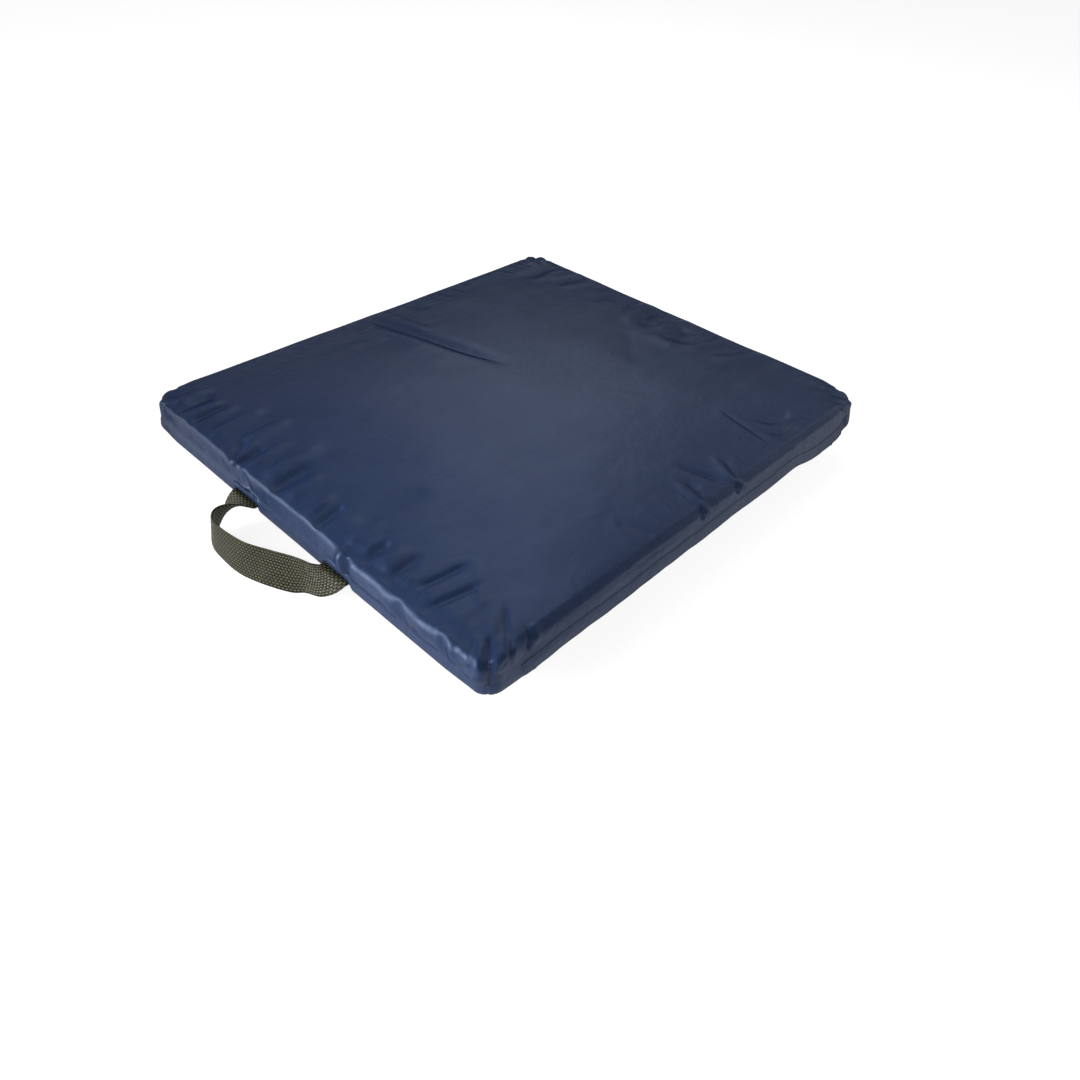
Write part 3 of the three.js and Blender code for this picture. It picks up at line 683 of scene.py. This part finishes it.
# The webbing's own olive-black is the lighter colour; the near-black one is painted shade for the gaps
# between the yarns.
webbing = webbing_material("black_webbing", (0.0015, 0.0015, 0.001), (0.100, 0.095, 0.047))
coil_plastic = solid_material("zip_coil", (0.008, 0.008, 0.010), (0.020, 0.020, 0.024), 0.002, 0.34)
metal = solid_material("dark_metal", (0.012, 0.012, 0.013), (0.030, 0.030, 0.032), 0.003, 0.36,
                       metallic=0.6)
foam = solid_material("foam", (0.55, 0.50, 0.33), (0.74, 0.69, 0.50), 0.0022, 0.92, relief=0.0012,
                      porous=True)
wadding = solid_material("wadding", (0.70, 0.70, 0.68), (0.86, 0.86, 0.84), 0.006, 0.95, relief=0.0015)
navy_thread = solid_material("navy_thread", (0.014, 0.022, 0.055), (0.036, 0.052, 0.105), 0.0006, 0.55)
grey_thread = solid_material("grey_thread", (0.16, 0.15, 0.14), (0.30, 0.28, 0.26), 0.0006, 0.55)


# ---- The navy upper cover ----
# The walls' rows from the crease to the hem, as how far in from the seam line, and the height.
TOP_PROFILE = [(CREASE_INSET, CREASE_Z), (2.2, 58.3), (0.2, 57.4), (-0.8, 55.2), (-1.2, 52), (-1.8, 46),
               (-2.4, 40), (-2.9, 34.5), (-3.0, 31.2), (-2.3, 28.8), (-0.8, 28.2), (0.9, 29.4)]
# On the zip side the wall goes on down as the flap, and its edge folds under.
TOPSTITCH_Z = 42.3  # the row of stitches along the flap's top
FLAP_PROFILE = [(CREASE_INSET, CREASE_Z), (3.6, 57.5), (1.8, 55.9), (0.3, 53.4), (-0.9, 49.5), (-1.9, 44.6),
                (-2.5, TOPSTITCH_Z), (-3.4, 39), (-4.0, 35.5), (-4.4, 32.9), (-4.2, 32.1), (-3.8, 32.3)]
FLAP_HALF = 206
CORNER_SOFTNESS = (0.5, 0.35, 0.7, 0.1)  # front left, front right, back right, back left
TOP_CELLS = (288, 328)
TOP_ROWS = 24
TOP_THICKNESS, FLAP_THINNER = 2.6, 1.5
HIGHEST_WRINKLE = 1.3  # of the simulated ones
DEEPEST_VALLEY = 3.0
SLIDER_BULGE = (1.2, -3.6)  # out and up, where the flap lies over the zip's slider


def top_face(x, y, depth):
    return CREASE_Z + dome(x, y)


def near_handle(x, y):
    """1 beside a sewn end of the handle, on the handle's side of the pad, and 0 away from it."""
    across = np.min([np.abs(x - middle) for middle in HANDLE_ENDS], axis=0)
    return smoothstep((WEB_WIDTH / 2 + 3.6 - across) / 4.2) * (y < -HALF_Y + 14)


def faint_creases(flat):
    """Long faint creases at random over the whole face."""
    total = np.zeros(len(flat))
    for _ in range(26):
        start, heading = rng.uniform(-1, 1, 2) * [EDGE_X - 30, EDGE_Y - 30], rng.uniform(0, 2 * math.pi)
        bend, reach = rng.uniform(-0.5, 0.5), rng.uniform(25, 60)
        turns = heading + bend * np.arange(3)
        steps = reach * np.arange(3)[:, None] * np.stack([np.cos(turns), np.sin(turns)], 1)
        total += fold_height(flat, rng.uniform(-0.3, 0.35), rng.uniform(3, 9), start + steps)
    return total


def handle_wall(place, drop):
    """The wall behind the handle: drawn in at its left end. At its right end it is slack, hollow just
    under the crease and swollen below that."""
    drawn_in = 1.5 * smoothstep(drop / 8) * (1 - smoothstep((place + 20) / 80)) * smoothstep(drop / 22)
    swell = 2.2 * np.sin(np.clip((drop - 4) / 22, 0, 1) * math.pi)
    hollow = 2.6 * np.exp(-((drop - 2) / 5.5) ** 2)
    return smoothstep((place - 20) / 60) * (swell - hollow) - drawn_in


top, half_top = fine_and_coarse(*TOP_CELLS, TOP_ROWS, top_face, TOP_PROFILE)
top_wrinkles = simulated_wrinkles(
    half_top, "navy_simulation", pinned=smoothstep((half_top.drop - 20) / 4),
    spare=np.exp(-((np.minimum(half_top.drop, 0) + 6) / 34) ** 2))

lift = top.from_coarse(half_top, np.clip(top_wrinkles, -HIGHEST_WRINKLE, HIGHEST_WRINKLE))
lift *= 1 - smoothstep((top.drop - 3) / 9)
for strength, folds in ((1.7, BACK_FOLDS), (1.8, LEFT_FOLDS), (2.3, FRONT_FOLDS), (1.5, RIGHT_FOLDS)):
    for height, width, *line in folds:
        higher, wider = (1.5, 1.3) if height < 0 else (0.85, 1.4)
        lift += fold_height(top.flat, higher * strength * height, wider * width, line)
lift += faint_creases(top.flat)
lift += random_puckers(top.flat, EDGE_X, EDGE_Y, (0.9, 0.4, 0.9, 0.8), 40, 6)
lift += corner_gathers(top, (0.6, 0.95, 0.7, 0.6))
lift += (top.side == 0) * handle_wall(top.place, top.drop)
lift += slow_noise(top.flat, 90, 0.35)
lift *= 1 - 0.35 * np.exp(-((top.drop - 1) / 5) ** 2)  # calmer on the crease
for height, width, *line in CREASE_PINCHES:
    lift += fold_height(top.flat, height, width, line)
lift += dart(top, 2.6, -8)
lift = np.where(lift < 0, -DEEPEST_VALLEY * np.tanh(-lift / DEEPEST_VALLEY), lift)
calm_flap = np.where(top.side == 1, 1 - 0.9 * smoothstep((top.drop - 13) / 4), 1)
calm_hem = 1 - 0.75 * smoothstep((top.drop - 21) / 5)
on_hem = smoothstep((top.drop - 15) / 8) * (1 - smoothstep((top.drop - 30) / 4))
scallop = slow_noise(top.flat, 18, 0.35) * on_hem

flap, _ = smooth_curve(FLAP_PROFILE, TOP_ROWS + 1)
to_flap = smoothstep((FLAP_HALF + 2 - np.abs(top.place)) / 10) * (top.side == 1)
for row in range(1, TOP_ROWS + 1):
    ids = top.wall_ids[row]
    top.points[ids, 0] += to_flap[ids] * (top.curve[row, 0] - flap[row, 0])
    top.points[ids, 2] += to_flap[ids] * (flap[row, 1] - top.curve[row, 1])
along_zip = top.flat[:, ::-1] * [1, 0]
flap_sway = slow_noise(along_zip, 55, 0.5) + slow_noise(along_zip, 17, 0.2)
over_slider = np.exp(-((top.place - 166) / 34) ** 4) * to_flap * smoothstep((top.drop - 12) / 12)
top.points[:, 2] += flap_sway * to_flap * smoothstep((top.drop - 14) / 12) + SLIDER_BULGE[1] * over_slider
top.points[:, 0] += SLIDER_BULGE[0] * over_slider

top_points = top.points + top.normals(top.points) * ((lift * calm_hem + scallop) * calm_flap)[:, None]
soft_corners(top_points, CORNER_SOFTNESS)
beside = near_handle(top.points[:, 0], top.points[:, 1])
top_points[:, 2] += 5.6 * beside * smoothstep((42 - top.points[:, 2]) / 7.5)  # the hem clears the webbing
thickness = TOP_THICKNESS - FLAP_THINNER * to_flap * smoothstep((top.drop - 9) / 5)
navy_cover = closed_cover("navy_cover", top, top_points, thickness[:, None], navy, ["top_cover", "zip_flap"])

# ---- The grey lower cover ----
# The face's height by how far in it is, and the walls' rows as for the upper cover.
BOTTOM_FACE = [(22, 8.8), (36, 4.5), (55, 1.5), (75, 0.0), (110, 0.0), (205, 0.0)]
BOTTOM_PROFILE = [(22, 8.8), (12, 14), (6.5, 19.5), (3.5, 25), (2.4, 30), (2.2, 34)]
BOTTOM_INSET = BOTTOM_PROFILE[0][0]
BOTTOM_CELLS = (168, 192)
BOTTOM_ROWS = 16
BOTTOM_THICKNESS = 1.8
ZIP_OPENING = 203  # half the length over which the wall ends lower, at the zip
ZIP_EDGE_Z = 25.4
HANDLE_GAP_Z = 31  # the wall stays under this beside the handle's sewn ends
face_curve, _ = smooth_curve(BOTTOM_FACE, 160)


def bottom_face(x, y, depth):
    return np.maximum(np.interp(depth, face_curve[:, 0], face_curve[:, 1]), 0)


def handle_pleats(flat):
    """Pleats that spread down the wall from each sewn end of the handle."""
    total = np.zeros(len(flat))
    for end in HANDLE_ENDS:
        for lean in (-11, -4, 5, 12):
            height, width = rng.uniform(0.6, 1.1) * rng.choice([-1, 1]), rng.uniform(2.4, 3.6)
            line = [(end + spread * lean, down - HALF_Y) for spread, down in ((1, -8), (1.4, 8), (1.9, 24))]
            total += fold_height(flat, height, width, line)
    return total


bottom, half_bottom = fine_and_coarse(*BOTTOM_CELLS, BOTTOM_ROWS, bottom_face, BOTTOM_PROFILE, -1)
resting = smoothstep((-half_bottom.drop - 26) / 14)
bottom_wrinkles = simulated_wrinkles(
    half_bottom, "grey_simulation",
    pinned=np.maximum(resting, smoothstep((half_bottom.drop - 22) / 3)),
    spare=np.exp(-((np.minimum(half_bottom.drop, 0) + 4) / 30) ** 2))

lift = bottom.from_coarse(half_bottom, np.clip(bottom_wrinkles, -1.1, 1.1))
lift += random_puckers(bottom.flat, HALF_X - BOTTOM_INSET, HALF_Y - BOTTOM_INSET,
                       (0.8, 0.4, 0.6, 0.6), 26, 22)
lift += handle_pleats(bottom.flat)
lift += corner_gathers(bottom, (0.45, 0.7, 0.45, 0.45)) * smoothstep((24 - bottom.drop) / 5)
lift += dart(bottom, 1.4, -4)
lift *= 1 - smoothstep((-bottom.drop - 30) / 20)  # flat where it rests on the ground
calm_zip = np.where(bottom.side == 1, 1 - smoothstep((bottom.drop - 8) / 5), 1)
calm_zip *= 1 - smoothstep((bottom.drop - 24) / 4)

# At the zip the wall's rows are drawn down, so that it ends at the tape, and it swells out over the tape.
opened = np.where(bottom.side == 1, smoothstep((ZIP_OPENING - np.abs(bottom.place)) / 7), 0)
reaches = np.linspace(0, bottom.length, len(bottom.curve))
edge_reach = np.interp(ZIP_EDGE_Z, bottom.curve[:, 1], reaches)
drop_now = bottom.drop * (1 - opened * (1 - edge_reach / bottom.length))
inset_now, z_now = (np.interp(drop_now, reaches, bottom.curve[:, k]) for k in range(2))
inset_before = np.interp(bottom.drop, reaches, bottom.curve[:, 0])
swell = 1.8 * opened * smoothstep((z_now - 17) / 6)
moved = (bottom.drop > 0) & (bottom.side == 1)
bottom_points = bottom.points.copy()
bottom_points[moved, 0] += (inset_before - inset_now + swell)[moved]
bottom_points[moved, 2] = z_now[moved]
bottom_points += bottom.normals(bottom.points) * (lift * calm_zip)[:, None]
beside = near_handle(bottom.points[:, 0], bottom.points[:, 1])
bottom_points[:, 2] -= beside * np.maximum(bottom_points[:, 2] - HANDLE_GAP_Z, 0)
bottom_points[:, 2] = np.maximum(bottom_points[:, 2], 0)
grey_cover = closed_cover("grey_cover", bottom, bottom_points, BOTTOM_THICKNESS, grey, ["bottom_cover"])

# ---- The filling ----
def flat_at(z):
    return lambda x, y, depth=0: np.full_like(x, z)


def over_foam(x, y, depth):
    return 53.6 + 0.9 * dome(x, y)


def under_foam(x, y):
    return 2.2 + 6.8 * np.maximum(np.abs(x) / (HALF_X - 44), np.abs(y) / (HALF_Y - 44)) ** 6


foam_block = closed_filling(
    "foam_block", 18, flat_at(53.0),
    [(10, 53.0), (8.2, 52), (7.4, 47), (7.2, 30), (8.6, 26), (14.4, 19.4), (24, 13.0)], flat_at(13.0),
    foam, ["foam_core"])
upper_wadding = closed_filling("upper_wadding", 4, over_foam, [(24, 54.6), (23, 54.2), (24, 53.5)],
                               flat_at(53.3), wadding, ["top_wadding"])
lower_wadding = closed_filling("lower_wadding", 4, flat_at(12.1), [(42, 12.1), (40, 11), (44, 9)],
                               under_foam, wadding, ["bottom_wadding"])

# ---- Seams and stitches ----
SEAM_ROW = 12  # the row of the lower cover's wall that the seam's stitches follow
corner_columns = np.cumsum([0, TOP_CELLS[0], TOP_CELLS[1], TOP_CELLS[0]])
bottom_columns = np.cumsum([0, BOTTOM_CELLS[0], BOTTOM_CELLS[1], BOTTOM_CELLS[0]])
top_normals, bottom_normals = top.normals(top_points), bottom.normals(bottom_points)
corner_names = ("front_left", "front_right", "back_right", "back_left")
for corner, top_column, bottom_column in zip(corner_names, corner_columns, bottom_columns):
    sewn(f"top_dart_stitches_{corner}", top_points, top_normals, top.wall_ids[1:19, top_column],
         navy_thread, f"top_dart_thread_{corner}")
    sewn(f"bottom_dart_stitches_{corner}", bottom_points, bottom_normals,
         bottom.wall_ids[1:13, bottom_column], grey_thread, f"bottom_dart_thread_{corner}")

# The seam's stitches go round the back, the left side and the front. The zip takes their place on the right.
seam_line = np.roll(bottom.wall_ids[SEAM_ROW], -bottom_columns[2])
seam_line = seam_line[:2 * BOTTOM_CELLS[0] + BOTTOM_CELLS[1] + 1]
sewn("seam_stitches", bottom_points + 0.1 * bottom_normals, bottom_normals, seam_line, grey_thread,
     "seam_thread", pitch=3.4)


# ---- The handle: one length of webbing, sewn in at both ends ----
# Each place gives the webbing's inner edge and outer edge, as x, distance out from the side, and z.
HANDLE_PLACES = [
    ((-46, 4.9, 32.6), (-76, 4.9, 32.6)), ((-51, 8.5, 33), (-79, 9.5, 24)),
    ((-59, 12.5, 33), (-80, 14.5, 12)), ((-65, 18.5, 32.4), (-77.5, 20.5, 5.2)),
    ((-66, 26, 31.6), (-73, 28.5, 2.6)), ((-59, 32, 31.2), (-63, 33.8, 2)),
    ((-45, 33.5, 31.2), (-49.5, 36, 2)), ((-20.7, 30, 31.3), (-25, 35.8, 2)),
    ((-1, 21.7, 31.5), (-4, 31, 2.8)), ((15, 14.5, 32), (19, 21, 3)), ((24, 12, 33), (31.5, 15, 7)),
    ((32, 9.5, 33), (50, 14.5, 16)), ((36.5, 6.8, 33), (63, 11, 26)), ((38, 4.9, 32.6), (68, 4.9, 32.6)),
]
TAIL_PLACES = [(0.5, 32.6), (-3.6, 32.7), (-5.5, 34.4), (-5.7, 39), (-5.7, 45.6)]  # out and z, going in
YARN_LONG, YARN_ACROSS, YARN_HEIGHT = 2.8, 2.3, 0.3
YARN_ROUNDNESS = 0.7
EDGE_ROUNDING = 0.8
GROUND_THICK = WEB_THICK - 0.34  # without the yarns' relief
MESH_STEP = 0.42  # the size of the webbing's cells


def handle_webbing():
    """Points, faces, cloth coordinates and painted gap shades of the handle with its two sewn-in tails."""
    tail_left = [((-46, out, z), (-76, out, z)) for out, z in TAIL_PLACES[::-1]]
    tail_right = [((38, out, z), (68, out, z)) for out, z in TAIL_PLACES]
    places = np.array(tail_left + HANDLE_PLACES + tail_right, float).reshape(-1, 6)
    _, total = smooth_curve(places, 3)
    curve, _ = smooth_curve(places, int(total / math.sqrt(2) / MESH_STEP))
    inner_edge, outer_edge = curve[:, :3].copy(), curve[:, 3:].copy()
    for edge in (inner_edge, outer_edge):
        edge[:, 1] = -HALF_Y - edge[:, 1]
    middle = (inner_edge + outer_edge) / 2
    share = np.linspace(0, 1, int(WEB_WIDTH / MESH_STEP) + 1)
    centre = inner_edge[:, None] * (1 - share[None, :, None]) + outer_edge[:, None] * share[None, :, None]
    face = unit(np.cross(np.gradient(middle, axis=0), outer_edge - inner_edge))
    v, u = (share * WEB_WIDTH)[None, :], distances(middle)[:, None]
    from_edge = np.clip(1 - np.minimum(v, WEB_WIDTH - v) / EDGE_ROUNDING, 0, 1)
    rounded = np.sqrt(np.clip(1 - from_edge**2, 0.02, 1))

    def yarns(offset):
        row = v / YARN_ACROSS + offset
        length = np.abs(np.sin(math.pi * (u / YARN_LONG + 0.5 * (np.floor(row) % 2))))
        return length**YARN_ROUNDNESS * np.abs(np.sin(math.pi * row)) ** YARN_ROUNDNESS

    # front and back are the yarns' heights on each face: they shape the mesh, and also serve as painted
    # shade, dark in the gaps.
    front, back = yarns(0), yarns(0.5)
    outer, inner = (
        centre + sign * face[:, None] * ((GROUND_THICK / 2 + YARN_HEIGHT * relief) * rounded)[..., None]
        for sign, relief in ((1, front), (-1, back)))
    n, m = front.shape
    flat = np.stack([np.broadcast_to(v, (n, m)), np.broadcast_to(u, (n, m))], -1).reshape(-1, 2)
    return (np.vstack([outer.reshape(-1, 3), inner.reshape(-1, 3)]), slab_faces(n, m),
            np.vstack([flat, flat]), np.concatenate([front.ravel(), back.ravel()]))


strap_points, strap_faces, strap_flat, strap_painted_shade = handle_webbing()
strap = new_piece("handle_webbing", strap_points, strap_faces, webbing,
                  ["handle_strap", "handle_tail_left", "handle_tail_right"],
                  flat=strap_flat, painted_gap_shades=strap_painted_shade, body=None)
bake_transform(strap)

# ---- The zip side ----
COIL_PITCH = 1.3
COIL_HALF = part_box("zip_coil_upper")[1].y / MM
CHAIN_Z = (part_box("zip_coil_upper")[0].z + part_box("zip_coil_lower")[1].z) / 2 / MM
LOWER_TAPE_HALF = 195


def woven_tape(name, profile, half_length, replaced):
    """A zip tape: a long thin strip along Y, with its cross-section as (x, z)."""
    thickness, step, step_across = 0.6, 2, 1.2
    section, width = smooth_curve(profile, max(int(distances(profile)[-1] / step_across), 6))
    ahead = np.gradient(section, axis=0)
    side = unit(np.stack([-ahead[:, 1], 0 * ahead[:, 0], ahead[:, 0]], 1))
    y = np.arange(-half_length, half_length + step / 2, step)
    n, m = len(y), len(section)
    x, y, z, reach = (np.broadcast_to(values, (n, m)) for values in
                      (section[:, 0], y[:, None], section[:, 1], np.linspace(0, width, m)))
    places, shift = np.stack([x, y, z], -1), side[None] * thickness / 2
    flat = np.stack([HALF_X + reach, y], -1).reshape(-1, 2)
    points = np.vstack([(places + shift).reshape(-1, 3), (places - shift).reshape(-1, 3)])
    new_piece(name, points, slab_faces(n, m, flipped=True), tape, [replaced], flat=np.vstack([flat, flat]))


def coil_teeth(name, root, head, offset, replaced):
    """The spiral of a zip as separate turns: out of the tape at one height, round the head and back."""
    turn = np.array([(202.0, 0.0, 0.0), (203.1, 0.0, 0.05), (203.75, 0.1, 0.5), (203.7, 0.25, 0.95),
                     (203.0, 0.45, 1.0), (202.1, 0.62, 0.55), (202.0, 0.65, 0.05)])
    parts = []
    for y in np.arange(-COIL_HALF + offset, COIL_HALF - 0.7, COIL_PITCH):
        path = np.stack([turn[:, 0], y + turn[:, 1], CHAIN_Z + root + (head - root) * turn[:, 2]], 1)
        parts.append(tube(path, 0.3, sides=5))
    new_piece(name, *gathered(parts), coil_plastic, [replaced])


flap_row = int(np.argmin(np.abs(flap[:, 1] - TOPSTITCH_Z)))
flap_line = top.wall_ids[flap_row, corner_columns[1]:corner_columns[2]]
flap_line = flap_line[np.abs(top_points[flap_line, 1]) < FLAP_HALF - 3]
sewn("flap_topstitching", top_points, top_normals, flap_line, navy_thread, "zip_flap_topstitch",
     pitch=2.9, thread=0.22)
woven_tape("zip_tape_upper_woven", [(201.4, 43), (201.45, 35), (201.6, CHAIN_Z + 0.2)], 200, "zip_tape_upper")
woven_tape("zip_tape_lower_woven", [(201.7, CHAIN_Z - 0.2), (201.4, 28), (200.6, 25.5), (199.4, 22.4)],
           LOWER_TAPE_HALF, "zip_tape_lower")
tape_line = bottom.wall_ids[BOTTOM_ROWS - 3, bottom_columns[1]:bottom_columns[2]]
tape_line = tape_line[np.abs(bottom_points[tape_line, 1]) < LOWER_TAPE_HALF + 1]
sewn("zip_tape_stitching", bottom_points, bottom_normals, tape_line, grey_thread, "zip_tape_stitch",
     pitch=2.9, thread=0.3)
coil_teeth("zip_coil_upper_teeth", 2.7, 0.3, COIL_PITCH / 2, "zip_coil_upper")
coil_teeth("zip_coil_lower_teeth", -2.7, -0.3, 0, "zip_coil_lower")

for name in ("zip_stop_front", "zip_stop_back_upper", "zip_stop_back_lower", "zip_slider", "zip_pull_tab"):
    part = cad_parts[name]
    for material_slot in part.material_slots:
        material_slot.material = metal
    bevel = part.modifiers.new("Bevel", "BEVEL")
    bevel.width, bevel.segments, bevel.limit_method = 0.0002, 3, "ANGLE"
    bevel.harden_normals = True
    part.data.polygons.foreach_set("use_smooth", [True] * len(part.data.polygons))

# ---- Floor, light and camera ----
def floor():
    mesh = bpy.data.meshes.new("floor")
    far = 30.0
    mesh.from_pydata([(-far, -far, 0), (far, -far, 0), (far, far, 0), (-far, far, 0)], [], [(0, 1, 2, 3)])
    mesh.materials.append(Shader("floor").surface({
        "Base Color": (0.3, 0.3, 0.3, 1), "Roughness": 0.9, "Specular IOR Level": 0.0,
        "Emission Color": (1, 1, 1, 1), "Emission Strength": 0.86}))
    linked("floor", mesh)


floor()
scene = bpy.context.scene
world = bpy.data.worlds.new("studio")
world.use_nodes = True
background = world.node_tree.nodes["Background"]
background.inputs["Color"].default_value = (1.0, 1.0, 1.0, 1)
background.inputs["Strength"].default_value = 0.27
scene.world = world
scene.view_settings.view_transform = "Standard"


def directions(azimuth, elevation):
    """The right, up and back of something that faces the pad. Azimuth 0 is in front, at -Y, and 90 at
    +X, in degrees."""
    az, el = math.radians(azimuth), math.radians(elevation)
    right = np.array([math.cos(az), math.sin(az), 0])
    back = np.array([math.sin(az) * math.cos(el), -math.cos(az) * math.cos(el), math.sin(el)])
    return right, np.cross(back, right), back


def look_from(obj, place, right, up, back):
    obj.matrix_world = Matrix([*zip(right, up, back, place), (0, 0, 0, 1)])


def softbox(name, azimuth, elevation, distance, size, power, aim=(0, 0, 0.04), spread=180):
    """An area light towards the pad."""
    light = bpy.data.lights.new(name, "AREA")
    light.shape = "RECTANGLE"
    light.size, light.size_y = size
    light.energy = power
    light.spread = math.radians(spread)
    right, up, back = directions(azimuth, elevation)
    look_from(linked(name, light), distance * back + np.array(aim), right, up, back)


softbox("key_light", -20, 38, 1.5, (0.8, 0.5), 4.0)
softbox("corner_light", -28, 14, 0.9, (0.5, 0.45), 1.1, aim=(0.17, -0.22, 0.04), spread=32)
softbox("far_light", 150, 34, 1.7, (1.0, 1.1), 4.5)
softbox("side_light", -46, 10, 1.4, (0.8, 0.35), 2.8)
softbox("zip_light", 80, 30, 1.4, (0.8, 0.7), 0.6)
softbox("back_light", 221, 56, 1.8, (1.1, 1.8), 12.5)

CAMERA_TARGET = np.array([0.06468, -0.02934, 0.0257])
CAMERA_DISTANCE = 0.73491
CAMERA_ROLL = math.radians(3.76)
level, upright, back = directions(41.32, 36.45)
right = level * math.cos(CAMERA_ROLL) + upright * math.sin(CAMERA_ROLL)
up = upright * math.cos(CAMERA_ROLL) - level * math.sin(CAMERA_ROLL)
camera_data = bpy.data.cameras.new("camera")
camera_data.lens, camera_data.sensor_width = 29.72, 36
camera_data.shift_x, camera_data.shift_y = -0.0079, -0.0635
camera_data.clip_start = 0.01
camera = linked("camera", camera_data)
look_from(camera, CAMERA_TARGET + back * CAMERA_DISTANCE, right, up, back)
scene.camera = camera

bpy.context.view_layer.update()
